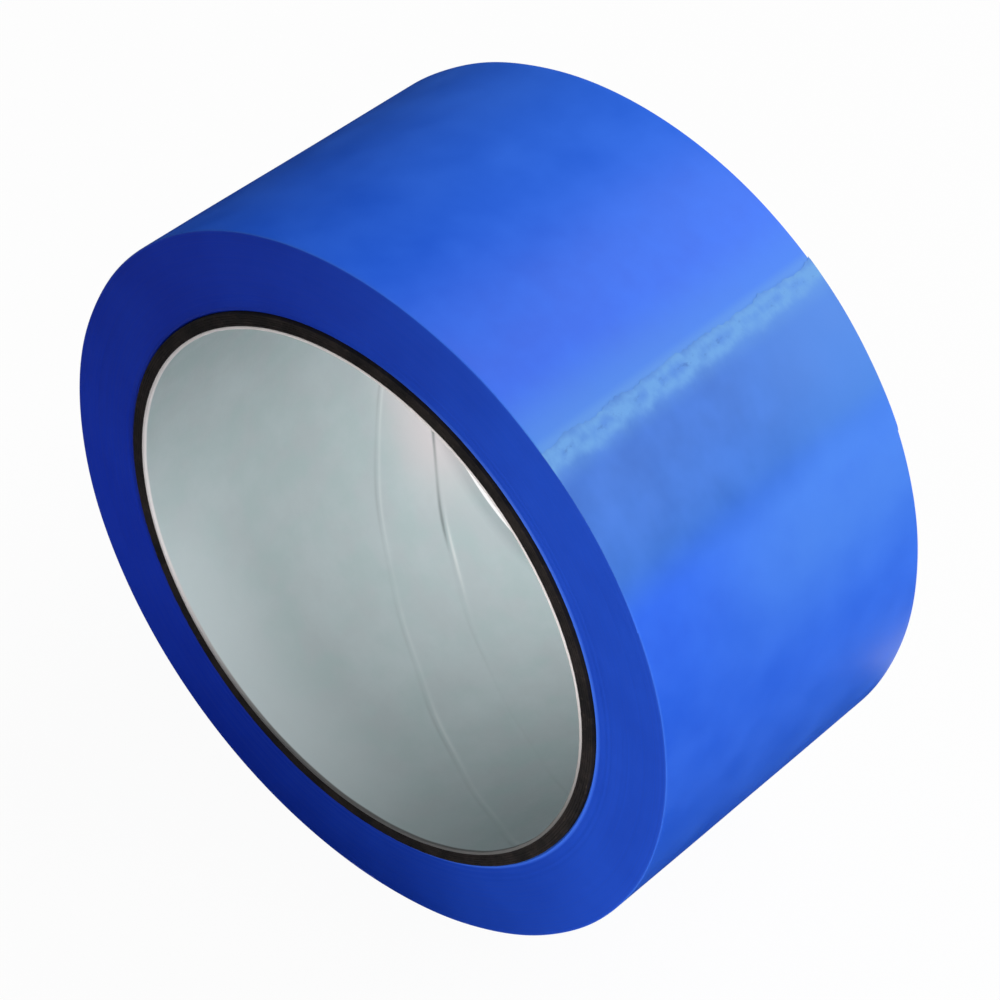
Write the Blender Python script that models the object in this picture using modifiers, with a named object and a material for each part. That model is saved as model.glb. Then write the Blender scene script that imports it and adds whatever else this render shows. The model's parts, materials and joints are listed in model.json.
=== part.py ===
"""A roll of carton-sealing tape on a spiral-wound paperboard core.

The roll stands on its tread. Its axis is the Y axis and its centre is the origin, +Z is up, and
lengths are in metres. The last stretch of the outer lap is a piece of its own, the free end, which
peels up about the line where the tape is still stuck down.
"""

import math

import bmesh
import bpy

# Core: plies of paper and board, glued on each other round the bore.
BORE_RADIUS = 0.038
CORE_STANDS_PROUD = 0.00055  # past each side face of the wound tape
LINER_THICKNESS = 0.0002
BOARD_THICKNESS = 0.000325
BOARD_PLIES = 5

# Tape: one strip, wound on the core in laps that lie exactly on each other.
TAPE_WIDTH = 0.0494
TAPE_THICKNESS = 0.000047
PACK_THICKNESS = 0.0110  # from the core's outside to the outer lap
FREE_END_LENGTH = 0.0205  # along the tread, from the root line up to the cut end
CUT_END_ANGLE = math.radians(53)  # from +X towards +Z

# Clearance between faces that are stuck together, so that each piece is a closed solid of its own.
GLUE_LINE = 0.00002

ROUND_STEPS = 100  # with the root line where it is, this puts a flat of the tread under the roll
FEWEST_FREE_END_STEPS = 2
WELD_DISTANCE = 0.000001
RIM_ANGLE = math.radians(30)  # an edge sharper than this stays sharp in the shading

BLUE_FILM = ("blue_film", (0.03, 0.11, 0.62), 0.22)
GREY_PAPER = ("grey_paper", (0.36, 0.41, 0.43), 0.75)
DARK_BOARD = ("dark_board", (0.035, 0.024, 0.020), 0.90)

FULL_TURN = 2 * math.pi
# A piece is turned or extruded round its own Z axis and then laid along the roll's axis, Y.
AXIS_ALONG_Y = (math.pi / 2, 0, 0)


def clear_scene():
    for thing in list(bpy.data.objects):
        bpy.data.objects.remove(thing, do_unlink=True)


def make_collection(name):
    collection = bpy.data.collections.new(name)
    bpy.context.scene.collection.children.link(collection)
    return collection


def make_material(piece_name, finish):
    """One material for each piece, from a finish of name, colour and roughness."""
    finish_name, colour, roughness = finish
    material = bpy.data.materials.new(f"{piece_name}_{finish_name}")
    material.use_nodes = True
    shader = material.node_tree.nodes["Principled BSDF"]
    shader.inputs["Base Color"].default_value = (*colour, 1)
    shader.inputs["Roughness"].default_value = roughness
    shader.inputs["Metallic"].default_value = 0
    return material


def finished_piece(name, maker, finish, collection, location=(0, 0, 0)):
    """The maker's shape as a welded mesh, smooth round the roll and sharp at its rims."""
    collection.objects.link(maker)
    graph = bpy.context.evaluated_depsgraph_get()
    mesh = bpy.data.meshes.new_from_object(maker.evaluated_get(graph))
    bpy.data.objects.remove(maker, do_unlink=True)
    shape = bmesh.new()
    shape.from_mesh(mesh)
    bmesh.ops.remove_doubles(shape, verts=shape.verts, dist=WELD_DISTANCE)
    shape.to_mesh(mesh)
    shape.free()
    mesh.shade_smooth()
    mesh.set_sharp_from_angle(angle=RIM_ANGLE)
    mesh.materials.append(make_material(name, finish))
    piece = bpy.data.objects.new(name, mesh)
    piece.rotation_euler = AXIS_ALONG_Y
    piece.location = location
    collection.objects.link(piece)
    return piece


def turned_ply(name, inner_radius, thickness, finish, collection):
    """A tube: a closed rectangular profile, down its outer side, turned by a Screw."""
    outer_radius = inner_radius + thickness
    half = TAPE_WIDTH / 2 + CORE_STANDS_PROUD
    corners = [
        (outer_radius, 0, half),
        (outer_radius, 0, -half),
        (inner_radius, 0, -half),
        (inner_radius, 0, half),
    ]
    edges = [(i, (i + 1) % len(corners)) for i in range(len(corners))]
    profile = bpy.data.meshes.new(name + "_profile")
    profile.from_pydata(corners, edges, [])
    maker = bpy.data.objects.new(name + "_maker", profile)
    screw = maker.modifiers.new("turn", "SCREW")
    screw.axis = "Z"
    screw.steps = ROUND_STEPS
    screw.render_steps = ROUND_STEPS
    screw.use_merge_vertices = True
    screw.merge_threshold = WELD_DISTANCE
    finished_piece(name, maker, finish, collection)
    return outer_radius


def extruded_outline(name, outlines, width, finish, collection, location=(0, 0, 0)):
    """A flat shape between closed outlines of (x, z) points, extruded along the roll's axis."""
    curve = bpy.data.curves.new(name + "_outline", "CURVE")
    curve.dimensions = "2D"
    curve.fill_mode = "BOTH"
    curve.extrude = width / 2
    for outline in outlines:
        spline = curve.splines.new("POLY")
        spline.points.add(len(outline) - 1)
        spline.use_cyclic_u = True
        for point, (x, z) in zip(spline.points, outline):
            point.co = (x - location[0], z - location[2], 0, 1)
    maker = bpy.data.objects.new(name + "_maker", curve)
    return finished_piece(name, maker, finish, collection, location)


def polar(radius, angle):
    return (radius * math.cos(angle), radius * math.sin(angle))


def evenly(start, end, steps):
    """steps + 1 values from start to end."""
    return [start + (end - start) * i / steps for i in range(steps + 1)]


class Winding:
    """The outer lap, a spiral that loses one pitch of radius in a full turn back from its cut end.

    A place on the lap is its turn back along the tape, in radians: 0 is the cut end, and the
    tape runs from there down the +X side, under the roll and round to the top again.
    """

    def __init__(self, core_radius):
        self.pitch = TAPE_THICKNESS + GLUE_LINE
        self.outer_radius = core_radius + PACK_THICKNESS
        self.free_turn = FREE_END_LENGTH / self.outer_radius
        steps = round(ROUND_STEPS * self.free_turn / FULL_TURN)
        self.free_steps = max(FEWEST_FREE_END_STEPS, steps)

    def point(self, turn, depth=0):
        """(x, z) at a turn back from the cut end, at a depth under the lap's top face."""
        radius = self.outer_radius - self.pitch * turn / FULL_TURN
        return polar(radius - depth, CUT_END_ANGLE - turn)

    def pack_outline(self):
        """From the root line once round, then on under the free end to the foot of the root's step."""
        stuck = evenly(self.free_turn, FULL_TURN, ROUND_STEPS - self.free_steps)
        under = evenly(FULL_TURN, FULL_TURN + self.free_turn, self.free_steps)
        return [self.point(turn) for turn in stuck + under[1:]]

    def free_end_outline(self):
        """The top face from cut end to root and the underside back, a glue line clear of the step."""
        turns = evenly(0, self.free_turn, self.free_steps)
        turns[-1] -= GLUE_LINE / self.outer_radius
        underside = [self.point(turn, TAPE_THICKNESS) for turn in reversed(turns)]
        return [self.point(turn) for turn in turns] + underside


def build_core(collection):
    """The liner and the board plies, from the bore outwards. Returns the core's outer radius."""
    radius = turned_ply("core_liner", BORE_RADIUS, LINER_THICKNESS, GREY_PAPER, collection)
    for number in range(1, BOARD_PLIES + 1):
        name = f"core_board_ply_{number}"
        radius = turned_ply(name, radius + GLUE_LINE, BOARD_THICKNESS, DARK_BOARD, collection)
    return radius


def build_tape(core_radius, collection):
    """The wound pack round the core, and the free end with its origin on the root line."""
    winding = Winding(core_radius)
    around = evenly(0, FULL_TURN, ROUND_STEPS)[:-1]
    hole = [polar(core_radius + GLUE_LINE, angle) for angle in around]
    outlines = [winding.pack_outline(), hole]
    extruded_outline("tape_pack", outlines, TAPE_WIDTH, BLUE_FILM, collection)

    root_x, root_z = winding.point(winding.free_turn)
    outlines = [winding.free_end_outline()]
    root = (root_x, 0, root_z)
    extruded_outline("tape_free_end", outlines, TAPE_WIDTH, BLUE_FILM, collection, root)


def build():
    clear_scene()
    collection = make_collection("tape_roll")
    core_radius = build_core(collection)
    build_tape(core_radius, collection)


build()
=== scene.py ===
import json
import math

import bpy
import numpy as np
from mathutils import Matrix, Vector


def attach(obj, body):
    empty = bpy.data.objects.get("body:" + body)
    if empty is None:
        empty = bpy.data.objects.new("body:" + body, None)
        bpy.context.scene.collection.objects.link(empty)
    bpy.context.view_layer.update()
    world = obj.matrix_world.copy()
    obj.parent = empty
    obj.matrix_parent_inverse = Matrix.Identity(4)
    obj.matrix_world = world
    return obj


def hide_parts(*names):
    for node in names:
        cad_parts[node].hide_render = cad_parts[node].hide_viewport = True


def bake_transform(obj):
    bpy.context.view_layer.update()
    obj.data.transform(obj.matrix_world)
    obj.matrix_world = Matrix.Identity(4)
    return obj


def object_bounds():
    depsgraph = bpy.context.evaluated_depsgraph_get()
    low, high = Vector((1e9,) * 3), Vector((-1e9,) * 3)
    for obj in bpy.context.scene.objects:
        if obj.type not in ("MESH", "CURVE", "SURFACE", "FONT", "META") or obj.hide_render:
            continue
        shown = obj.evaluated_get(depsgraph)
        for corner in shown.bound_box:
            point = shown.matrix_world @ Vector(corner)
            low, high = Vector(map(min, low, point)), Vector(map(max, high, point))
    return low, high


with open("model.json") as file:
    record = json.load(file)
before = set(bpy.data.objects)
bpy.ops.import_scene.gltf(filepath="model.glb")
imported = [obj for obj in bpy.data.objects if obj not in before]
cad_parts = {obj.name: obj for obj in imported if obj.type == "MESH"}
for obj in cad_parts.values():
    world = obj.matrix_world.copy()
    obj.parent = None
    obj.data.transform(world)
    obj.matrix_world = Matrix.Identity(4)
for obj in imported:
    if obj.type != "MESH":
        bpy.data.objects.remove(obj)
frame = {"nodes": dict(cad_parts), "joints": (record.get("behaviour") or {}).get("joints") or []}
cadBox = [list(corner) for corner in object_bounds()]
print("frame loaded:", len(frame["nodes"]), "pieces from the maker's model")

fullTurn = 2 * math.pi

# Lengths are in metres. The roll's axis is Y. An angle runs from +X towards +Z, and a turn is
# counted the other way, back along the tape from its cut end.


def gridCells(rows, columns):
    # One quad for each cell of a grid: a point, the next row's, that one's neighbour, its own.
    number = np.arange(rows * columns).reshape(rows, columns)
    return np.stack([number[:-1, :-1], number[1:, :-1], number[1:, 1:], number[:-1, 1:]], -1).reshape(-1, 4)


def outwards(points, faces):
    # The sum of the corner triple products is six times the volume; below zero the faces are turned over.
    a, b, c, d = (points[faces[:, i]] for i in range(4))
    volume = np.einsum("ij,ij->", a, np.cross(b, c)) + np.einsum("ij,ij->", a, np.cross(c, d))
    return faces if volume > 0 else faces[:, ::-1]


def makePiece(name, points, faces, faceMap, mapPoints, sharpAngle=math.radians(35)):
    # faces number the points, and faceMap numbers the places of the same corners on the tape map.
    turned = outwards(points, faces)
    if turned is not faces:
        faceMap = faceMap[:, ::-1]
    mesh = bpy.data.meshes.new(name)
    mesh.from_pydata(points.tolist(), [], turned.tolist())
    layer = mesh.uv_layers.new(name="surfaceMap")
    layer.data.foreach_set("uv", mapPoints[faceMap.ravel()].astype(np.float32).ravel())
    mesh.shade_smooth()
    mesh.set_sharp_from_angle(angle=sharpAngle)
    mesh.update()
    piece = bpy.data.objects.new(name, mesh)
    bpy.context.scene.collection.objects.link(piece)
    return piece


def closedRing(name, angle, radius, axial, mapPoints):
    # A grid of points whose rows go round the roll and whose columns go round the cut section of a
    # ring: x = radius cos(angle), y = axial, z = radius sin(angle). Both ways it closes on itself.
    rows, columns = radius.shape
    points = np.stack([radius * np.cos(angle), axial, radius * np.sin(angle)], -1).reshape(-1, 3)
    faceMap = gridCells(rows + 1, columns + 1)
    row, column = np.divmod(faceMap, columns + 1)
    faces = (row % rows) * columns + column % columns
    return makePiece(name, points, faces, faceMap, mapPoints.reshape(-1, 2))


def closeMap(values, rowStep=0.0):
    # A grid's first row and column once more at its end, the row moved on by a whole trip round.
    values = np.vstack([values, values[:1] + rowStep])
    return np.hstack([values, values[:, :1]])


def roundedSection(inner, outer, half, rounding, along, across, cornerSteps=4, crowding=1.0):
    # A ring's cut section, as radius and axial place: down the outside, across the near end, back
    # along the bore and across the far end, with a quarter circle at each corner. A crowding over 1
    # draws the points across an end together towards the bore.
    low, high, flat = inner + rounding, outer - rounding, half - rounding
    quarter = np.linspace(0, math.pi / 2, cornerSteps + 2)[1:-1]
    sine, cosine = rounding * np.sin(quarter), rounding * np.cos(quarter)
    lengthwise = np.linspace(flat, -flat, along)
    crosswise = low + (high - low) * np.linspace(1, 0, across) ** crowding
    radius = [np.full(along, outer), high + cosine, crosswise, low - sine,
              np.full(along, inner), low - cosine, crosswise[::-1], high + sine]
    axial = [lengthwise, -flat - sine, np.full(across, -half), -flat - cosine,
             lengthwise[::-1], flat + sine, np.full(across, half), flat + cosine]
    return np.concatenate(radius), np.concatenate(axial)


def makeWaves(seed, count, mostAround, mostAlong, height):
    # Sine waves with a whole number of periods round the roll, so that their sum closes on itself.
    rng = np.random.default_rng(seed)
    around = rng.integers(1, mostAround + 1, count) * rng.choice([-1, 1], count)
    along = rng.uniform(-mostAlong, mostAlong, count)
    return around, along, rng.uniform(0, fullTurn, count), height / math.sqrt(count)


def waveHeight(waves, angle, axial):
    around, along, phase, height = waves
    angle, axial = np.broadcast_arrays(angle, axial)
    return height * sum(np.sin(n * angle + m * axial + p) for n, m, p in zip(around, along, phase))


def smoothStep(value, start, end):
    share = np.clip((value - start) / (end - start), 0, 1)
    return share * share * (3 - 2 * share)


def ringOf(cadNode):
    # A ring's inner and outer radius round the roll's axis, its half length along it, and its points.
    mesh = frame["nodes"][cadNode].data
    points = np.empty(len(mesh.vertices) * 3, np.float32)
    mesh.vertices.foreach_get("co", points)
    points = points.reshape(-1, 3).astype(float)
    radius = np.hypot(points[:, 0], points[:, 2])
    return radius.min(), radius.max(), np.abs(points[:, 1]).max(), points


def node(tree, kind, settings=None, **inputs):
    made = tree.nodes.new("ShaderNode" + kind)
    for key, value in (settings or {}).items():
        setattr(made, key, value)
    for key, value in inputs.items():
        socket = made.inputs[int(key[1:])] if key[0] == "i" and key[1:].isdigit() else made.inputs[key]
        if isinstance(value, bpy.types.NodeSocket):
            tree.links.new(value, socket)
        else:
            socket.default_value = value
    return made


def maths(tree, operation, *values):
    return node(tree, "Math", {"operation": operation},
                **{f"i{i}": value for i, value in enumerate(values)}).outputs[0]


def ramp(tree, value, start, end, low=0.0, high=1.0):
    # The value's share of the way from start to end, eased at both, carried to low and high.
    made = node(tree, "MapRange", {"interpolation_type": "SMOOTHSTEP"}, Value=value)
    for key, number in zip(("From Min", "From Max", "To Min", "To Max"), (start, end, low, high)):
        made.inputs[key].default_value = number
    return made.outputs["Result"]


def tint(tree, share, first, second):
    made = node(tree, "Mix", {"data_type": "RGBA"}, i0=share)
    for place, colour in ((6, first), (7, second)):
        if isinstance(colour, bpy.types.NodeSocket):
            tree.links.new(colour, made.inputs[place])
        else:
            made.inputs[place].default_value = (*colour, 1)
    return made.outputs[2]


def stretched(tree, vector, scale):
    return node(tree, "Mapping", Vector=vector, Scale=scale).outputs[0]


def noise(tree, vector, scale, detail=2.0, roughness=0.5):
    return node(tree, "TexNoise", Vector=vector, Scale=scale, Detail=detail,
                Roughness=roughness).outputs["Fac"]


def bell(tree, value, centre, reach):
    # 1 where the value is at the centre, easing to 0 at the reach on either side of it.
    away = maths(tree, "ABSOLUTE", maths(tree, "SUBTRACT", value, centre))
    return ramp(tree, away, reach, 0.0)


def makeGroup(name, inputs, outputs):
    group = bpy.data.node_groups.new(name, "ShaderNodeTree")
    for label, kind, value in inputs:
        socket = group.interface.new_socket(name=label, in_out="INPUT", socket_type="NodeSocket" + kind)
        if value is not None:
            socket.default_value = value
    for label in outputs:
        group.interface.new_socket(name=label, in_out="OUTPUT", socket_type="NodeSocketFloat")
    return group, group.nodes.new("NodeGroupInput").outputs, group.nodes.new("NodeGroupOutput")


def placeGroup(tree, group, **inputs):
    made = tree.nodes.new("ShaderNodeGroup")
    made.node_tree = group
    for label, value in inputs.items():
        if isinstance(value, bpy.types.NodeSocket):
            tree.links.new(value, made.inputs[label])
        else:
            made.inputs[label].default_value = value
    return made.outputs


def newMaterial(name, roughness=0.5, specular=0.5):
    material = bpy.data.materials.new(name)
    material.use_nodes = True
    shader = material.node_tree.nodes["Principled BSDF"]
    shader.inputs["Roughness"].default_value = roughness
    shader.inputs["Specular IOR Level"].default_value = specular
    return material, material.node_tree, shader


def surfaceMap(tree):
    return node(tree, "UVMap", {"uv_map": "surfaceMap"}).outputs[0]


def bumped(tree, shader, height, relief):
    # The relief is how strongly the height shows and how many metres it is worth.
    strength, distance = relief
    made = node(tree, "Bump", Height=height, Strength=strength, Distance=distance)
    tree.links.new(made.outputs[0], shader.inputs["Normal"])


def makeFilmCloud():
    # Soft clouds, streaks along the tape and fine specks, as film shows over its uneven glue.
    group, inputs, out = makeGroup(
        "filmCloud",
        [("Place", "Vector", None), ("CloudSize", "Float", 0.009), ("Contrast", "Float", 1.0)],
        ["Cloud", "Streak", "Speck"])
    perMetre = maths(group, "DIVIDE", 1.0, inputs["CloudSize"])
    wide = noise(group, inputs["Place"], perMetre, 3.0, 0.55)
    centred = maths(group, "SUBTRACT", wide, 0.5)
    cloud = maths(group, "MULTIPLY_ADD", centred, inputs["Contrast"], 0.5)
    streak = noise(group, stretched(group, inputs["Place"], (40, 900, 1)), 1.0, 2.0)
    speck = noise(group, inputs["Place"], 2600, 1.0)
    for label, value in (("Cloud", cloud), ("Streak", streak), ("Speck", speck)):
        group.links.new(value, out.inputs[label])
    return group


def makePaperGrain():
    # Long fibres across a cloudy ground: one stretched noise over a broad one, and both as a height.
    group, inputs, out = makeGroup(
        "paperGrain",
        [("Place", "Vector", None), ("CloudSize", "Float", 0.008),
         ("FibreStretch", "Vector", (700, 2600, 700))],
        ["Cloud", "Fibre", "Height"])
    perMetre = maths(group, "DIVIDE", 1.0, inputs["CloudSize"])
    cloud = noise(group, inputs["Place"], perMetre, 4.0, 0.6)
    along = node(group, "VectorMath", {"operation": "MULTIPLY"}, i0=inputs["Place"],
                 i1=inputs["FibreStretch"])
    fibre = noise(group, along.outputs[0], 1.0, 3.0, 0.65)
    height = maths(group, "MULTIPLY_ADD", fibre, 0.7, cloud)
    for label, value in (("Cloud", cloud), ("Fibre", fibre), ("Height", height)):
        group.links.new(value, out.inputs[label])
    return group


filmCloud = makeFilmCloud()
paperGrain = makePaperGrain()
print("shared effects made")


boreRadius, linerOuter, coreHalf, _ = ringOf("core_liner")
packInner, _, tapeHalf, _ = ringOf("tape_pack")
_, rollRadius, _, freeEndPoints = ringOf("tape_free_end")
cutAngle = np.arctan2(freeEndPoints[:, 2], freeEndPoints[:, 0]).max()
rootPlace = frame["joints"][0]["pos_m"]
rootAngle = math.atan2(rootPlace[2], rootPlace[0])

tape = {
    "thickness": 0.000047,
    "lapPitch": 0.000067,  # the tread falls by this much in one turn back from the cut
    "filmPastRoot": 0.0032,  # the free end's film goes on under the root line by this much
    "waves": (26, 22, 260),  # how many, most periods round the roll, most radians a metre across it
    "waveHeight": 0.00003,
    "seed": 11,
}
tapeWaves = makeWaves(tape["seed"], *tape["waves"], tape["waveHeight"])
filmRootTurn = cutAngle - rootAngle + tape["filmPastRoot"] / rollRadius


def lapRadius(turn):
    # A spiral that loses one pitch in each full turn back from the cut end.
    return rollRadius - tape["lapPitch"] * turn / fullTurn


woundTape = {
    "rowsRound": 380,
    "pointsAcrossTread": 58,
    "pointsDownSide": 46,
    "pointsAtCorner": 4,
    "crowding": 1.5,  # of the points down the side, towards the core
    "rounding": 0.00022,  # of the outer rims
    "stepWidth": 0.00004,  # the lap's own step, where the free end's film goes under
    "sideWander": 0.000035,  # laps that lie a little to one side of the rest
    "sideWanders": 60,  # so many places across the side, each with its own wander
    "sideDish": 0.00006,
    "firstLaps": (0.00034, 0.00020, 0.00016),  # they stand proud: how far out, how wide, how much
    "seed": 5,
}

treadFinish = {
    "deep": (0.016, 0.110, 0.74),  # towards the near edge as painted shade, and in the clouds' dark parts
    "bright": (0.041, 0.187, 0.93),
    "contrast": 0.65,
    "nearEdgeShadeShare": 0.5,  # of the change from deep to bright, the part that runs across the tape as painted shade towards the near edge
    # Painted highlight: the paler blue that the tread fades to above the cut end.
    "dull": (0.062, 0.232, 0.73),
    "highlightBeforeCut": 0.009,  # the painted highlight pales the tread over this much before it meets the cut end
    "highlightShares": (0.85, 0.50),  # of the painted highlight, at the near edge and at the far one
    # Painted highlight: a paler blue over the tread's lit band, more towards the far edge.
    "haze": (0.085, 0.270, 0.76),
    "paintedHighlightBack": (0.016, 0.023, 0.027, 0.046),  # painted highlight, counted back from the cut: where it comes in and goes
    "paintedHighlightAcross": (-0.021, 0.006),  # of the painted highlight, from none to all of its share
    "hazeShare": 0.55,
    "milkyBeforeCut": 0.0014,
    "milkyShare": 0.4,
    "coveredPast": (0.0010, 0.0030),  # past the cut, where the free end hides the tread
    # Painted highlight along both rims of the tread.
    "rim": (0.060, 0.210, 0.90),
    "rimWidth": 0.0004,
    "rimShare": 0.5,
    "roughness": (0.30, 0.40),
    "specular": 0.17,
    "relief": (0.12, 0.00002),
}

freeEndFinish = {
    "dull": (0.026, 0.134, 0.54),
    "dullPatch": (0.046, 0.182, 0.68),
    "dullFar": (0.062, 0.220, 0.71),  # towards the far edge
    "dullEnds": (0.0165, 0.0235),
    "milky": (0.118, 0.330, 0.71),
    "speck": (0.035, 0.135, 0.46),
    "strands": ((0.0009, 0.0012), (0.0025, 0.0014)),  # middle and reach of each pale strand
    "strandWander": 0.0038,
    "strandShare": 0.5,
    "strandRelief": 0.4,
    "haze": (0.0056, 0.0020),
    "hazeShare": 0.5,
    "milkyMost": 0.95,
    "specksAt": (0.0017, 0.0010),
    "speckShare": 0.6,
    "cloudSize": 0.008,
    "contrast": 0.9,
}

sideFinish = {
    "deep": (0.0042, 0.035, 0.54),  # painted shade, towards -X
    "bright": (0.0060, 0.045, 0.61),
    "paintedLitDeep": (0.0085, 0.062, 0.54),  # painted light, towards +X
    "paintedLitBright": (0.0115, 0.077, 0.62),
    "paintedLitFrom": (-0.035, 0.035),
    # Painted highlight along the side's outer rim and by the core.
    "rim": (0.050, 0.180, 0.90),
    "outerRimWidth": 0.0004,
    "outerRimShare": 0.35,
    "innerRim": (0.0008, 0.0003),  # from nothing to full, counted out from the core
    "innerRimShare": 0.9,
    "innerRimFrom": (-0.030, 0.020),  # the painted highlight shows on the right and below, not above on the left
    "lapScale": 5200,
    "lapShare": 0.35,  # of the colour's change that follows single laps
    "bandScale": 700,
    "bandRelief": 1.5,
    "cloudSize": 0.012,
    "roughness": (0.42, 0.56),
    "specular": 0.12,
    "relief": (0.25, 0.00003),
}


def stuckFilm(tree, place, shader, extraHeight=None):
    # The look that the wound tape and the free end share: its colour comes back, and the roughness
    # and the fine relief are set.
    film = placeGroup(tree, filmCloud, Place=place, Contrast=treadFinish["contrast"])
    roughness = ramp(tree, film["Cloud"], 0.3, 0.7, *treadFinish["roughness"])
    tree.links.new(roughness, shader.inputs["Roughness"])
    height = maths(tree, "MULTIPLY_ADD", film["Streak"], 0.5, film["Speck"])
    if extraHeight is not None:
        height = maths(tree, "ADD", height, extraHeight)
    bumped(tree, shader, height, treadFinish["relief"])
    back, across, _ = node(tree, "SeparateXYZ", Vector=place).outputs
    part = treadFinish["nearEdgeShadeShare"]
    share = maths(tree, "MULTIPLY", ramp(tree, film["Cloud"], 0.25, 0.75), 1 - part)
    # Painted shade: the tread darkens towards its near edge.
    share = maths(tree, "ADD", share, ramp(tree, across, -tapeHalf, tapeHalf, 0.0, part))
    colour = tint(tree, share, treadFinish["deep"], treadFinish["bright"])
    # Painted highlight: the tread pales over its lit band, more towards the far edge.
    comesIn, allIn, goes, allGone = treadFinish["paintedHighlightBack"]
    haze = maths(tree, "MULTIPLY", ramp(tree, back, comesIn, allIn), ramp(tree, back, allGone, goes))
    farSide = ramp(tree, across, *treadFinish["paintedHighlightAcross"], 0.0, treadFinish["hazeShare"])
    haze = maths(tree, "MULTIPLY", haze, farSide)
    haze = maths(tree, "MULTIPLY", haze, ramp(tree, film["Cloud"], 0.2, 0.7, 0.75, 1.0))
    colour = tint(tree, haze, colour, treadFinish["haze"])
    across = maths(tree, "ABSOLUTE", across)
    # Painted highlight along both rims of the tread.
    rim = ramp(tree, across, tapeHalf - treadFinish["rimWidth"], tapeHalf, 0.0, treadFinish["rimShare"])
    return tint(tree, rim, colour, treadFinish["rim"])


def treadMaterial():
    material, tree, shader = newMaterial("treadFilm", specular=treadFinish["specular"])
    place = surfaceMap(tree)
    colour = stuckFilm(tree, place, shader)
    back, across, _ = node(tree, "SeparateXYZ", Vector=place).outputs
    lapLength = fullTurn * rollRadius
    start, end = treadFinish["coveredPast"]
    covered = ramp(tree, back, lapLength + start, lapLength + end, 1.0, 0.0)
    # Painted highlight: the tread pales just before it meets the cut end.
    nearCut = ramp(tree, back, lapLength - treadFinish["highlightBeforeCut"], lapLength)
    nearCut = maths(tree, "MULTIPLY", nearCut, covered)
    share = ramp(tree, across, -tapeHalf, tapeHalf, *treadFinish["highlightShares"])
    paled = tint(tree, maths(tree, "MULTIPLY", nearCut, share), colour, treadFinish["dull"])
    milky = ramp(tree, back, lapLength - treadFinish["milkyBeforeCut"], lapLength,
                 0.0, treadFinish["milkyShare"])
    paled = tint(tree, maths(tree, "MULTIPLY", milky, covered), paled, freeEndFinish["milky"])
    tree.links.new(paled, shader.inputs["Base Color"])
    return material


def sideMaterial():
    material, tree, shader = newMaterial("woundSide", specular=sideFinish["specular"])
    place = node(tree, "TexCoord").outputs["Object"]
    flat = node(tree, "VectorMath", {"operation": "MULTIPLY"}, i0=place, i1=(1, 0, 1))
    radius = node(tree, "VectorMath", {"operation": "LENGTH"}, i0=flat.outputs[0]).outputs["Value"]
    laps = node(tree, "TexNoise", {"noise_dimensions": "1D"}, W=radius, Scale=sideFinish["lapScale"],
                Detail=3.0).outputs["Fac"]
    bands = node(tree, "TexNoise", {"noise_dimensions": "1D"}, W=radius, Scale=sideFinish["bandScale"],
                 Detail=1.0).outputs["Fac"]
    film = placeGroup(tree, filmCloud, Place=place, CloudSize=sideFinish["cloudSize"])
    lapShare = sideFinish["lapShare"]
    share = maths(tree, "MULTIPLY_ADD", laps, lapShare, maths(tree, "MULTIPLY", film["Cloud"], 1 - lapShare))
    x, _, z = node(tree, "SeparateXYZ", Vector=place).outputs
    share = ramp(tree, share, 0.3, 0.7)
    shaded = tint(tree, share, sideFinish["deep"], sideFinish["bright"])
    lit = tint(tree, share, sideFinish["paintedLitDeep"], sideFinish["paintedLitBright"])
    # Painted light and shade: the side is lighter towards +X and darker towards -X.
    colour = tint(tree, ramp(tree, x, *sideFinish["paintedLitFrom"]), shaded, lit)
    # Painted highlight: a pale line at the outer rim, and by the core on the right and below only.
    below = ramp(tree, maths(tree, "MULTIPLY_ADD", z, -0.6, x), *sideFinish["innerRimFrom"])
    outer = ramp(tree, radius, rollRadius - sideFinish["outerRimWidth"], rollRadius,
                 0.0, sideFinish["outerRimShare"])
    none, full = sideFinish["innerRim"]
    inner = ramp(tree, radius, packInner + none, packInner + full, 0.0, sideFinish["innerRimShare"])
    inner = maths(tree, "MULTIPLY", inner, below)
    colour = tint(tree, maths(tree, "MAXIMUM", outer, inner), colour, sideFinish["rim"])
    tree.links.new(colour, shader.inputs["Base Color"])
    tree.links.new(ramp(tree, laps, 0.3, 0.7, *sideFinish["roughness"]), shader.inputs["Roughness"])
    height = maths(tree, "MULTIPLY_ADD", bands, sideFinish["bandRelief"], laps)
    bumped(tree, shader, height, sideFinish["relief"])
    return material


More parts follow.
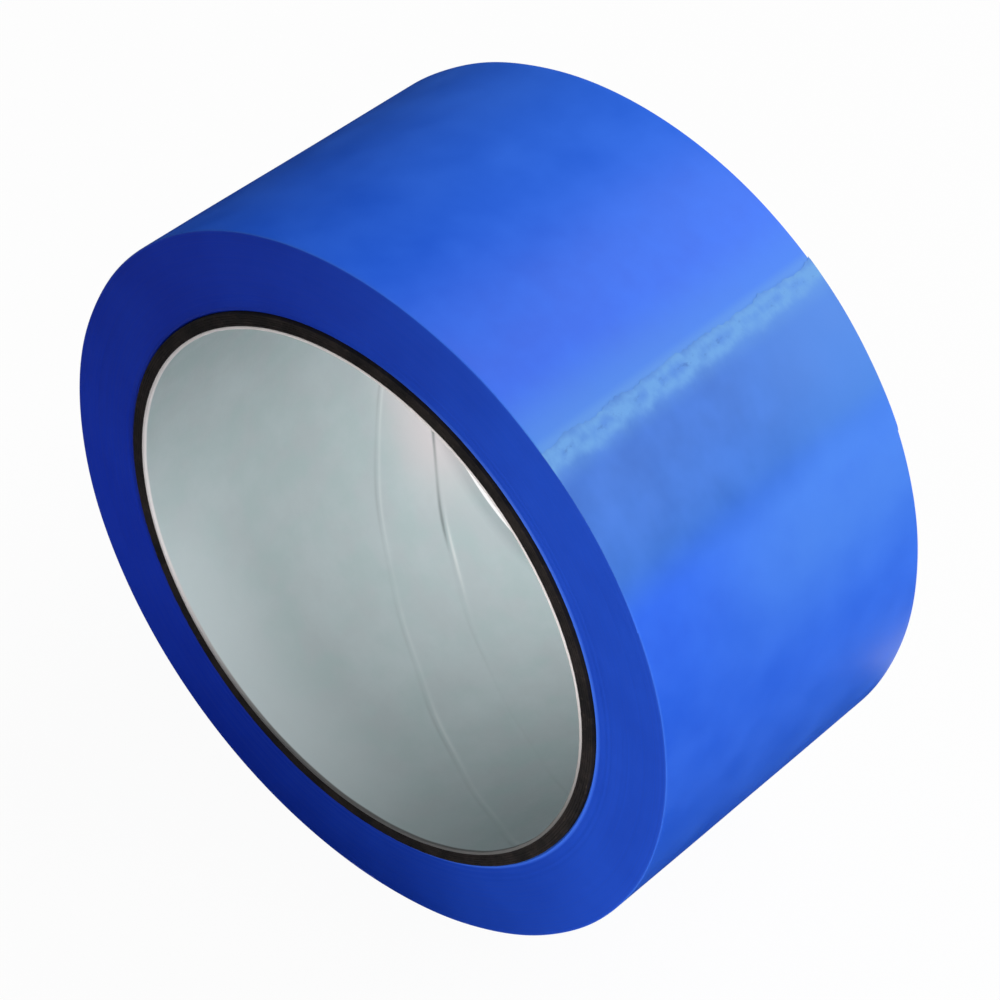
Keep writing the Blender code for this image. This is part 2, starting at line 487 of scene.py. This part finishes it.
def makeWoundTape():
    # The section's loop is carried round the roll while its outside follows the spiral; the last
    # row is one pitch lower than the first, and the narrow cell between them is the lap's step.
    step = woundTape["stepWidth"] / rollRadius
    turn = filmRootTurn + np.linspace(0, fullTurn - step, woundTape["rowsRound"])
    radius, axial = roundedSection(packInner, rollRadius, tapeHalf, woundTape["rounding"],
                                   woundTape["pointsAcrossTread"], woundTape["pointsDownSide"],
                                   woundTape["pointsAtCorner"], woundTape["crowding"])
    angle = cutAngle - turn[:, None]
    # Only the outside follows the spiral and its waves: further in, the ring stays round.
    outerShare = smoothStep(radius, rollRadius - 0.002, rollRadius - 0.0002)
    treadShare = smoothStep(radius, rollRadius - 0.0003, rollRadius - 0.00005)
    moved = radius + outerShare * (lapRadius(turn)[:, None] - rollRadius)
    moved = moved + treadShare * waveHeight(tapeWaves, angle, axial)
    rng = np.random.default_rng(woundTape["seed"])
    count = woundTape["sideWanders"]
    laps = np.linspace(packInner, rollRadius, count)
    wander = np.convolve(rng.normal(0, woundTape["sideWander"], count + 2), [0.25, 0.5, 0.25], "valid")
    sideways = np.interp(radius, laps, wander) + woundTape["sideDish"] * np.sin(
        math.pi * (radius - packInner) / (rollRadius - packInner))
    sideShare = smoothStep(np.abs(axial), tapeHalf - 2 * woundTape["rounding"], tapeHalf)
    place, width, proud = woundTape["firstLaps"]
    firstLaps = proud * np.exp(-((radius - packInner - place) / width) ** 2)
    # The wander swells and fades once and three times round the roll.
    lean = 1 + 0.25 * np.sin(angle + 0.7) + 0.15 * np.sin(3 * angle + radius * 900)
    pushed = axial - np.sign(axial) * sideShare * (np.abs(sideways) * lean - firstLaps)
    mapPoints = np.stack([np.broadcast_to(turn[:, None] * rollRadius, moved.shape),
                          np.broadcast_to(axial, moved.shape)], -1)
    mapPoints = np.stack([closeMap(mapPoints[..., 0]), closeMap(mapPoints[..., 1])], -1)
    mapPoints[-1, :, 0] = mapPoints[-2, :, 0]
    piece = closedRing("tapePack", np.broadcast_to(angle, moved.shape), moved, pushed, mapPoints)
    piece.data.materials.append(treadMaterial())
    piece.data.materials.append(sideMaterial())
    # Faces on the outside take the tread's material, and all the others the side's.
    faceCount = len(piece.data.polygons)
    centre, normal = np.empty(faceCount * 3, np.float32), np.empty(faceCount * 3, np.float32)
    piece.data.polygons.foreach_get("center", centre)
    piece.data.polygons.foreach_get("normal", normal)
    centre, normal = centre.reshape(-1, 3), normal.reshape(-1, 3)
    onTread = (np.hypot(centre[:, 0], centre[:, 2]) > rollRadius - 0.0004) & (np.abs(normal[:, 1]) < 0.8)
    piece.data.polygons.foreach_set("material_index", np.where(onTread, 0, 1).astype(np.int32))
    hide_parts("tape_pack")
    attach(piece, "roll")


makeWoundTape()
print("wound tape made")


freeEnd = {
    "rowsAlong": 150,
    "rowCrowding": 1.25,  # over 1 draws the rows together towards the cut
    "pointsAcross": 200,
    "jag": 0.0007,  # how far the cut edge wanders
    "teeth": 0.0011,  # length of one bite of the cutter along the edge
    "slowWander": (26, 1.0),  # how many places across the edge, and how much of the jag
    "fineWander": (110, 0.4),
    "taper": (0.0006, 0.2),  # the film thins over this length to this share at its cut
    "lift": 0.00003,  # how far the cut edge stands off the roll
    "liftLength": 0.0035,
    "tuck": 0.0006,  # the film's other end dives under the wound tape over this much
    "tuckDepth": 0.00008,
    "bend": (0.0012, 0.0045),  # a span from this far before the root line to this far past it
    "seed": 23,
}


def freeEndMaterial():
    # Two pale strands lie across the tape behind its cut edge. One wander pushes them apart in some
    # places and together in others; a fainter haze lies under both, and the film past them is dull.
    material, tree, shader = newMaterial("freeEndFilm", specular=treadFinish["specular"])
    place = surfaceMap(tree)
    back, across, _ = node(tree, "SeparateXYZ", Vector=place).outputs
    wander = noise(tree, stretched(tree, place, (90, 230, 1)), 1.0, 3.0, 0.6)
    wander = maths(tree, "MULTIPLY", maths(tree, "SUBTRACT", wander, 0.5), freeEndFinish["strandWander"])
    (upper, upperReach), (lower, lowerReach) = freeEndFinish["strands"]
    strands = maths(tree, "ADD", bell(tree, maths(tree, "ADD", back, wander), upper, upperReach),
                    bell(tree, maths(tree, "SUBTRACT", back, wander), lower, lowerReach))
    haze = ramp(tree, back, *freeEndFinish["haze"], 0.0, freeEndFinish["hazeShare"])
    mottle = noise(tree, stretched(tree, place, (520, 640, 1)), 1.0, 3.0, 0.6)
    milky = maths(tree, "MULTIPLY_ADD", strands, freeEndFinish["strandShare"], haze)
    milky = maths(tree, "MULTIPLY", milky, ramp(tree, mottle, 0.3, 0.65, 0.7, 1.0))
    milky = maths(tree, "MINIMUM", milky, freeEndFinish["milkyMost"])
    stuck = stuckFilm(tree, place, shader, maths(tree, "MULTIPLY", milky, freeEndFinish["strandRelief"]))
    loose = placeGroup(tree, filmCloud, Place=stretched(tree, place, (0.8, 1, 1)),
                       CloudSize=freeEndFinish["cloudSize"], Contrast=freeEndFinish["contrast"])
    patches = ramp(tree, loose["Cloud"], 0.25, 0.75)
    dull = tint(tree, patches, freeEndFinish["dull"], freeEndFinish["dullPatch"])
    farSide = ramp(tree, across, -0.2 * tapeHalf, tapeHalf, 0.0, 0.9)
    dull = tint(tree, farSide, dull, freeEndFinish["dullFar"])
    colour = tint(tree, ramp(tree, back, *freeEndFinish["dullEnds"]), dull, stuck)
    colour = tint(tree, milky, colour, freeEndFinish["milky"])
    specks = ramp(tree, noise(tree, stretched(tree, place, (900, 560, 1)), 1.0, 3.0, 0.7), 0.54, 0.70)
    specks = maths(tree, "MULTIPLY", specks, bell(tree, back, *freeEndFinish["specksAt"]))
    specks = maths(tree, "MULTIPLY", specks, freeEndFinish["speckShare"])
    colour = tint(tree, specks, colour, freeEndFinish["speck"])
    tree.links.new(colour, shader.inputs["Base Color"])
    return material


def makeFreeEnd():
    # Two grids of points, the film's top and underside, joined along their four borders. A row is a
    # turn back from the cut end, a column a place across the tape; the first rows follow the cut's
    # bites and stand off the roll.
    rng = np.random.default_rng(freeEnd["seed"])
    across = np.linspace(-tapeHalf, tapeHalf, freeEnd["pointsAcross"])
    share = np.linspace(0, 1, freeEnd["rowsAlong"]) ** freeEnd["rowCrowding"]
    jag = np.abs((across / freeEnd["teeth"]) % 1.0 - 0.5) * 0.5 - 0.6
    for places, most in (freeEnd["slowWander"], freeEnd["fineWander"]):
        stations = np.linspace(-tapeHalf, tapeHalf, places)
        jag = jag + np.interp(across, stations, rng.uniform(0, most, places))
    cutTurn = freeEnd["jag"] * jag / rollRadius
    lastTurn = filmRootTurn + freeEnd["tuck"] / rollRadius
    turn = cutTurn + (lastTurn - cutTurn) * share[:, None]
    angle = cutAngle - turn
    back = turn * rollRadius
    tip = 1 - smoothStep(back, 0, freeEnd["liftLength"])
    # The cut edge stands off in some places and lies nearly flat in others.
    flutter = 0.55 + 0.45 * np.sin(across * 420 + 1.3 * np.sin(across * 170))
    lift = freeEnd["lift"] * tip * flutter
    sink = freeEnd["tuckDepth"] * smoothStep(turn, filmRootTurn, lastTurn)
    top = lapRadius(turn) + waveHeight(tapeWaves, angle, across) + lift - sink
    under = top - tape["thickness"]
    length, least = freeEnd["taper"]
    thinned = least + (1 - least) * smoothStep((turn - cutTurn) * rollRadius, 0, length)
    top = under + tape["thickness"] * thinned
    grids = [np.stack([r * np.cos(angle), np.broadcast_to(across, angle.shape), r * np.sin(angle)], -1)
             for r in (top, under)]
    rows, columns = angle.shape
    count = rows * columns
    points = np.concatenate([grid.reshape(-1, 3) for grid in grids])
    number = np.arange(count).reshape(rows, columns)
    upper = gridCells(rows, columns)
    rim = np.concatenate([number[0, :-1], number[:-1, -1], number[-1, :0:-1], number[:0:-1, 0]])
    nextRim = np.roll(rim, -1)
    border = np.stack([rim, nextRim, nextRim + count, rim + count], -1)
    faces = np.concatenate([upper, upper[:, ::-1] + count, border])
    mapPoints = np.stack([back, np.broadcast_to(across, back.shape)], -1).reshape(-1, 2)
    faceMap = np.where(faces >= count, faces - count, faces)
    piece = makePiece("freeEnd", points, faces, faceMap, mapPoints)
    piece.data.materials.append(freeEndMaterial())
    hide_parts("tape_free_end")
    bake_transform(piece)


makeFreeEnd()
print("free end made")


boardPly = {
    "plies": 5,
    "columnsRound": 520,
    "pointsAlong": 6,
    "pointsAtEnd": 4,
    "pointsAtCorner": 2,
    "rounding": 0.00006,
    "endRoughness": 0.000035,
    "seed": 40,
}

boardFinish = {
    "deep": (0.009, 0.0085, 0.0095),
    "plain": (0.026, 0.021, 0.020),
    "fibre": (0.070, 0.054, 0.045),
    "fibreShare": (0.35, 0.12),  # the least, and the step between one ply and the next
    "fibreStretch": (1500, 1500, 1500),
    "cloudSize": 0.004,
    "roughness": 0.9,
    "specular": 0.15,
    "relief": (0.6, 0.00006),
}

liner = {
    "seamTurn": (math.radians(-113.0), math.radians(-80.3)),  # of each seam, halfway along the bore
    "lead": 0.128,  # how far a seam climbs in a full turn
    "seamHeight": (0.00005, 0.00008),
    "seamWidth": 0.00042,
    "seamValleyShade": ((0.35, 0.10), (0.22, 1.00)),  # each seam's valley, in relief and as painted shade: everywhere, and more at its far end
    "seamRidgeHighlight": ((0.45, 0.15), (0.08, 1.00)),  # each seam's ridge, in relief and as painted highlight: everywhere, and more at one place
    "darkFrom": (0.0145, 0.0175),
    "lightAt": (0.0155, 0.0030),
    "rowsAlong": 70,
    "columnsPlain": 300,
    "columnsNearSeam": 50,
    "nearSeam": 0.0045,
    "pointsAtEnd": 2,
    "pointsAtCorner": 3,
    "rounding": 0.00007,
    "lip": (0.00010, 0.00060),  # the paper's cut edges turn in by this much, near and far
    "lipLength": 0.0014,
    "creases": (30, 40, 900),  # how many, most periods round the bore, most radians a metre along it
    "creaseHeight": 0.000025,
    "seed": 8,
}

linerFinish = {
    "green": (0.455, 0.550, 0.555),
    "rose": (0.480, 0.545, 0.560),
    "pale": (0.510, 0.585, 0.600),
    "near": (0.66, 0.74, 0.76),  # painted light: a paler patch at the near end, low on the left
    # Painted light: a paler, rosier patch low down at the far end.
    "far": (0.65, 0.61, 0.62),
    "rim": (0.92, 0.87, 0.87),  # painted highlight on the near cut edge, and painted shade at its lowest part
    "rimPaintedShade": (0.15, 0.15, 0.15),
    # Painted shade in each seam's valley and painted highlight on its ridge.
    "seamValleyShade": (0.13, 0.16, 0.16),
    "seamRidgeHighlight": (0.78, 0.82, 0.81),
    "seamShare": 0.75,
    "tingeScale": 170,
    "cloudSize": 0.009,
    "fibreStretch": (900, 2600, 900),
    "roughness": (0.55, 0.72),
    "specular": 0.35,
    "relief": (0.25, 0.00003),
}


def boardMaterial(number):
    finish = boardFinish["roughness"], boardFinish["specular"]
    material, tree, shader = newMaterial(f"boardPly{number}", *finish)
    place = node(tree, "TexCoord").outputs["Object"]
    grain = placeGroup(tree, paperGrain, Place=place, CloudSize=boardFinish["cloudSize"],
                       FibreStretch=boardFinish["fibreStretch"])
    ground = tint(tree, ramp(tree, grain["Cloud"], 0.3, 0.7), boardFinish["deep"], boardFinish["plain"])
    least, step = boardFinish["fibreShare"]
    fibre = ramp(tree, grain["Fibre"], 0.55, 0.8, 0.0, least + step * (number % 3))
    tree.links.new(tint(tree, fibre, ground, boardFinish["fibre"]), shader.inputs["Base Color"])
    bumped(tree, shader, grain["Height"], boardFinish["relief"])
    return material


def makeBoardPly(number):
    # The section's loop carried round the roll; its two end faces are roughened by smoothed noise,
    # fibre by fibre, and its walls stay true.
    cadNode = f"core_board_ply_{number}"
    inner, outer, half, _ = ringOf(cadNode)
    radius, axial = roundedSection(inner, outer, half, boardPly["rounding"], boardPly["pointsAlong"],
                                   boardPly["pointsAtEnd"], boardPly["pointsAtCorner"])
    columns = boardPly["columnsRound"]
    angle = np.linspace(0, fullTurn, columns, endpoint=False)[:, None]
    rng = np.random.default_rng(boardPly["seed"] + number)
    rough = rng.normal(0, 1, (columns, len(radius)))
    rough = (rough + np.roll(rough, 1, 0) + 0.5 * np.roll(rough, 2, 0)) / 1.5
    atEnd = smoothStep(np.abs(axial), half - 0.0002, half)
    pushed = axial - np.sign(axial) * atEnd * np.abs(rough) * boardPly["endRoughness"]
    shape = (columns, len(radius))
    mapPoints = np.stack([closeMap(np.broadcast_to(angle * outer, shape), fullTurn * outer),
                          closeMap(np.broadcast_to(axial, shape))], -1)
    piece = closedRing(f"boardPly{number}", np.broadcast_to(angle, shape), np.broadcast_to(radius, shape),
                       pushed, mapPoints)
    piece.data.materials.append(boardMaterial(number))
    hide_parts(cadNode)
    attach(piece, "roll")


def linerMaterial():
    material, tree, shader = newMaterial("linerPaper", specular=linerFinish["specular"])
    place = node(tree, "TexCoord").outputs["Object"]
    grain = placeGroup(tree, paperGrain, Place=place, CloudSize=linerFinish["cloudSize"],
                       FibreStretch=linerFinish["fibreStretch"])
    tinge = noise(tree, place, linerFinish["tingeScale"], 2.0)
    ground = tint(tree, ramp(tree, tinge, 0.38, 0.62), linerFinish["green"], linerFinish["rose"])
    ground = tint(tree, ramp(tree, grain["Cloud"], 0.35, 0.75), ground, linerFinish["pale"])
    x, axial, z = node(tree, "SeparateXYZ", Vector=place).outputs
    # The painted light patches and the rim's painted highlight and shade are set by place, as shares of the
    # core's half length and radius.
    # Painted light: a paler patch low on the left, near the open end.
    near = maths(tree, "MULTIPLY", ramp(tree, axial, -coreHalf, -0.4 * coreHalf, 0.9, 0.0),
                 ramp(tree, x, 0.5 * boreRadius, -0.4 * boreRadius))
    near = maths(tree, "MULTIPLY", near, ramp(tree, z, 0.0, -0.7 * boreRadius))
    ground = tint(tree, near, ground, linerFinish["near"])
    # Painted light: a paler patch low down towards the far end.
    far = maths(tree, "MULTIPLY", ramp(tree, axial, 0.5 * coreHalf, 0.95 * coreHalf),
                ramp(tree, z, -0.83 * boreRadius, -0.55 * boreRadius))
    ground = tint(tree, far, ground, linerFinish["far"])
    seamShading = node(tree, "Attribute", {"attribute_name": "seamShadeAndHighlight"}).outputs["Fac"]
    most = linerFinish["seamShare"]
    # Painted shade in the seams' valleys and painted highlight on their ridges.
    ground = tint(tree, ramp(tree, seamShading, 0.0, -1.0, 0.0, most), ground, linerFinish["seamValleyShade"])
    ground = tint(tree, ramp(tree, seamShading, 0.0, 1.0, 0.0, most), ground, linerFinish["seamRidgeHighlight"])
    # Painted highlight and shade: the near cut edge is pale above and on the right and dark at its lowest
    # part.
    lean = maths(tree, "MULTIPLY_ADD", x, -0.35, z)
    rim = tint(tree, ramp(tree, lean, -0.85 * boreRadius, 0.15 * boreRadius),
               linerFinish["rimPaintedShade"], linerFinish["rim"])
    atRim = ramp(tree, axial, -coreHalf + 0.0006, -coreHalf + 0.0003)
    tree.links.new(tint(tree, atRim, ground, rim), shader.inputs["Base Color"])
    roughness = ramp(tree, grain["Fibre"], 0.3, 0.7, *linerFinish["roughness"])
    tree.links.new(roughness, shader.inputs["Roughness"])
    bumped(tree, shader, grain["Height"], linerFinish["relief"])
    return material


def makeLiner():
    # Each row of points is twisted on by its place along the bore, so that the columns run along the
    # seams' own helix: angle = column - place * turn per metre. Columns crowd together at a seam,
    # and there the paper's overlap is a ridge with a valley beside it, each a bell curve across it.
    twist = fullTurn / liner["lead"]
    columns = [np.linspace(0, fullTurn, liner["columnsPlain"], endpoint=False)]
    reach = liner["nearSeam"] / boreRadius
    for seam in liner["seamTurn"]:
        columns.append((seam + reach * np.linspace(-1, 1, liner["columnsNearSeam"]) ** 3) % fullTurn)
    columns = np.unique(np.concatenate(columns).round(6))
    radius, axial = roundedSection(boreRadius, linerOuter, coreHalf, liner["rounding"], liner["rowsAlong"],
                                   liner["pointsAtEnd"], liner["pointsAtCorner"])
    angle = columns[:, None] - twist * axial
    onBore = 1 - smoothStep(radius, boreRadius, boreRadius + 0.00008)
    squareOn = math.sin(math.atan(liner["lead"] / (fullTurn * boreRadius)))
    relief, seamShading = np.zeros(angle.shape), np.zeros(angle.shape)
    lightPlace, lightReach = liner["lightAt"]
    farDark = smoothStep(axial, *liner["darkFrom"])
    farLight = np.exp(-((axial - lightPlace) / lightReach) ** 2)
    seams = zip(liner["seamTurn"], liner["seamHeight"], liner["seamValleyShade"], liner["seamRidgeHighlight"])
    for seam, height, (dark, moreDark), (light, moreLight) in seams:
        dark, light = dark + moreDark * farDark, light + moreLight * farLight
        away = (columns - seam + math.pi) % fullTurn - math.pi
        away = away[:, None] * boreRadius * squareOn
        # It strays a little to either side, and it comes and goes along its length.
        away = away + 0.00014 * np.sin(axial * 300 + seam) + 0.00008 * np.sin(axial * 790)
        width = liner["seamWidth"]
        patchy = 0.7 + 0.3 * np.sin(axial * 520 + 2 * seam) * np.sin(axial * 210)
        ridge = np.exp(-((away - 0.6 * width) / (0.8 * width)) ** 2)
        valley = np.exp(-((away + 0.9 * width) / (0.8 * width)) ** 2)
        relief = relief + height * patchy * (light * ridge - dark * valley)
        # The same bells, kept as the painted shade and highlight along the seams.
        seamShading = seamShading + patchy * (light * ridge - dark * valley)
    waves = makeWaves(liner["seed"], *liner["creases"], liner["creaseHeight"])
    nearEnd = 0.25 + 0.75 * smoothStep(np.abs(axial), coreHalf - 0.006, coreHalf - 0.001)
    relief = relief + nearEnd * waveHeight(waves, angle, axial)
    lip = np.where(axial < 0, *liner["lip"]) * smoothStep(
        np.abs(axial), coreHalf - liner["lipLength"], coreHalf - liner["rounding"])
    lip = lip * (0.94 + 0.06 * np.sin(19 * angle + np.sign(axial)) * np.sin(7 * angle))
    moved = radius - onBore * (relief - relief.min() + lip)
    mapPoints = np.stack([closeMap(np.broadcast_to(columns[:, None] * boreRadius, angle.shape),
                                   fullTurn * boreRadius),
                          closeMap(np.broadcast_to(axial, angle.shape))], -1)
    piece = closedRing("coreLiner", angle, moved, np.broadcast_to(axial, angle.shape), mapPoints)
    layer = piece.data.attributes.new("seamShadeAndHighlight", "FLOAT", "POINT")
    layer.data.foreach_set("value", (seamShading * onBore).astype(np.float32).ravel())
    piece.data.materials.append(linerMaterial())
    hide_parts("core_liner")
    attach(piece, "roll")


for plyNumber in range(1, boardPly["plies"] + 1):
    makeBoardPly(plyNumber)
makeLiner()
print("core made")


studio = {
    "floorReach": 3.0,
    "floorWhite": 0.82,
    "shadowShows": 0.04,  # share of the floor's own shading that the camera sees
    "keyPower": 19.5,
    "keyAngle": math.radians(56),
    "keyBehind": 0.55,  # of the way towards +Y
    "keyDistance": 1.2,
    "keySize": 1.5,
    "sidePower": 6.0,
    "sidePlace": (0.085, -0.60, 0.030),
    "sideAim": (0.082, -0.025, 0.012),
    "sideCone": math.radians(19),
    "sideSoft": (0.5, 0.03),  # how far its edge fades, and its own radius
    "sideColour": (1.0, 0.97, 0.92),
    "fillPower": 2.1,
    "fillPlace": (0.68, -0.72, 0.05),
    "fillSize": 0.45,
    "borePower": 4.6,
    "borePlace": (0.48, -0.27, 0.10),
    "boreAim": (-0.035, -0.027, -0.010),
    "boreCone": math.radians(6),
    "boreSoft": (1.0, 0.02),
    "worldStrength": 0.10,
    "cardPlace": (-0.20, 0.15),  # where its standing part meets the floor
    "cardSize": (0.9, 0.42),
    "cardReach": 0.28,  # of its lying part, each way from the roll
    "cardHole": ((0.02, 0.050), (0.062, 0.10)),  # two corners of it, where the white floor shows
    "cardLift": 0.0004,  # of its lying part, above the floor
    "cardBlack": 0.01,
}

view = {
    "azimuth": math.radians(42.1),
    "elevation": math.radians(40.62),
    "distance": 0.4264,
    "aim": (0.00827, -0.00670, 0.00911),
    "lens": 122.1,
    "sensor": 36.0,
}


def seenAsWhite(tree, share):
    # 1 for rays that show the background, straight or in gloss and glass, and 0 for light itself.
    path = node(tree, "LightPath").outputs
    seen = maths(tree, "MAXIMUM", path["Is Camera Ray"], path["Is Glossy Ray"])
    seen = maths(tree, "MAXIMUM", seen, path["Is Transmission Ray"])
    return maths(tree, "MULTIPLY", seen, share)


def makeFloor():
    reach, level = studio["floorReach"], cadBox[0][2]
    corners = [(-reach, -reach, level), (reach, -reach, level), (reach, reach, level), (-reach, reach, level)]
    mesh = bpy.data.meshes.new("studioFloor")
    mesh.from_pydata(corners, [], [(0, 1, 2, 3)])
    floor = bpy.data.objects.new("studioFloor", mesh)
    bpy.context.scene.collection.objects.link(floor)
    material = bpy.data.materials.new("floorWhite")
    material.use_nodes = True
    tree = material.node_tree
    tree.nodes.clear()
    white = (studio["floorWhite"],) * 3 + (1,)
    paint = node(tree, "BsdfDiffuse", Color=white).outputs[0]
    glow = node(tree, "Emission", Color=(1, 1, 1, 1), Strength=1.0).outputs[0]
    share = seenAsWhite(tree, 1 - studio["shadowShows"])
    mixed = node(tree, "MixShader", i0=share, i1=paint, i2=glow).outputs[0]
    node(tree, "OutputMaterial", Surface=mixed)
    mesh.materials.append(material)


def makeDarkCard():
    # Black card that only reflections see, as painted shade in them: one part lies round the roll's foot,
    # where the floor is in its shade, with a hole behind the roll's lit side; the other stands behind its
    # shaded side.
    way = Vector((*studio["cardPlace"], 0)).normalized()
    aside = Vector((-way.y, way.x, 0)) * studio["cardSize"][0] / 2
    reach, level = studio["cardReach"], cadBox[0][2] + studio["cardLift"]
    foot = Vector((*studio["cardPlace"], level))
    rise = Vector((0, 0, studio["cardSize"][1]))
    corners = [foot - aside, foot + aside, foot + aside + rise, foot - aside + rise]
    (left, near), (right, far) = studio["cardHole"]
    for x0, y0, x1, y1 in ((-reach, -reach, reach, near), (-reach, near, left, reach),
                           (right, near, reach, reach), (left, far, right, reach)):
        corners += [Vector((x, y, level)) for x, y in ((x0, y0), (x1, y0), (x1, y1), (x0, y1))]
    mesh = bpy.data.meshes.new("darkCard")
    mesh.from_pydata(corners, [], [tuple(range(i, i + 4)) for i in range(0, len(corners), 4)])
    card = bpy.data.objects.new("darkCard", mesh)
    bpy.context.scene.collection.objects.link(card)
    material, _, shader = newMaterial("cardBlack", roughness=1.0, specular=0.0)
    shader.inputs["Base Color"].default_value = (studio["cardBlack"],) * 3 + (1,)
    mesh.materials.append(material)
    card.visible_camera = card.visible_diffuse = card.visible_shadow = card.visible_transmission = False


def makeWorld():
    world = bpy.data.worlds.new("studioAir")
    bpy.context.scene.world = world
    world.use_nodes = True
    tree = world.node_tree
    tree.nodes.clear()
    dim = node(tree, "Background", Color=(1, 1, 1, 1), Strength=studio["worldStrength"]).outputs[0]
    white = node(tree, "Background", Color=(1, 1, 1, 1), Strength=1.0).outputs[0]
    mixed = node(tree, "MixShader", i0=seenAsWhite(tree, 1.0), i1=dim, i2=white).outputs[0]
    node(tree, "OutputWorld", Surface=mixed)


def addLamp(name, kind, place, aim, power, **settings):
    # A lamp at a place, turned to its aim, that the camera doesn't see.
    lamp = bpy.data.lights.new(name, kind)
    lamp.energy = power
    for key, value in settings.items():
        setattr(lamp, key, value)
    holder = bpy.data.objects.new(name, lamp)
    holder.location = place
    holder.rotation_euler = (Vector(aim) - Vector(place)).to_track_quat("-Z", "Y").to_euler()
    holder.visible_camera = False
    bpy.context.scene.collection.objects.link(holder)


def makeCamera():
    azimuth, elevation = view["azimuth"], view["elevation"]
    back = Vector((math.sin(azimuth) * math.cos(elevation), -math.cos(azimuth) * math.cos(elevation),
                   math.sin(elevation)))
    data = bpy.data.cameras.new("camera")
    data.lens, data.sensor_width = view["lens"], view["sensor"]
    data.clip_start, data.clip_end = 0.01, 20
    camera = bpy.data.objects.new("camera", data)
    camera.location = Vector(view["aim"]) + back * view["distance"]
    camera.rotation_euler = (-back).to_track_quat("-Z", "Y").to_euler()
    bpy.context.scene.collection.objects.link(camera)
    bpy.context.scene.camera = camera


makeFloor()
makeDarkCard()
makeWorld()
keyWay = Vector((math.cos(studio["keyAngle"]), studio["keyBehind"], math.sin(studio["keyAngle"])))
keyPlace = keyWay.normalized() * studio["keyDistance"]
addLamp("key", "AREA", keyPlace, (0, 0, 0), studio["keyPower"], size=studio["keySize"])
blend, soft = studio["sideSoft"]
addLamp("sideSpot", "SPOT", studio["sidePlace"], studio["sideAim"], studio["sidePower"],
        color=studio["sideColour"], spot_size=studio["sideCone"], spot_blend=blend, shadow_soft_size=soft)
addLamp("fill", "AREA", studio["fillPlace"], (0, 0, 0), studio["fillPower"], size=studio["fillSize"])
blend, soft = studio["boreSoft"]
addLamp("boreSpot", "SPOT", studio["borePlace"], studio["boreAim"], studio["borePower"],
        spot_size=studio["boreCone"], spot_blend=blend, shadow_soft_size=soft)
makeCamera()
bpy.context.scene.view_settings.view_transform = "Standard"
print("studio made")
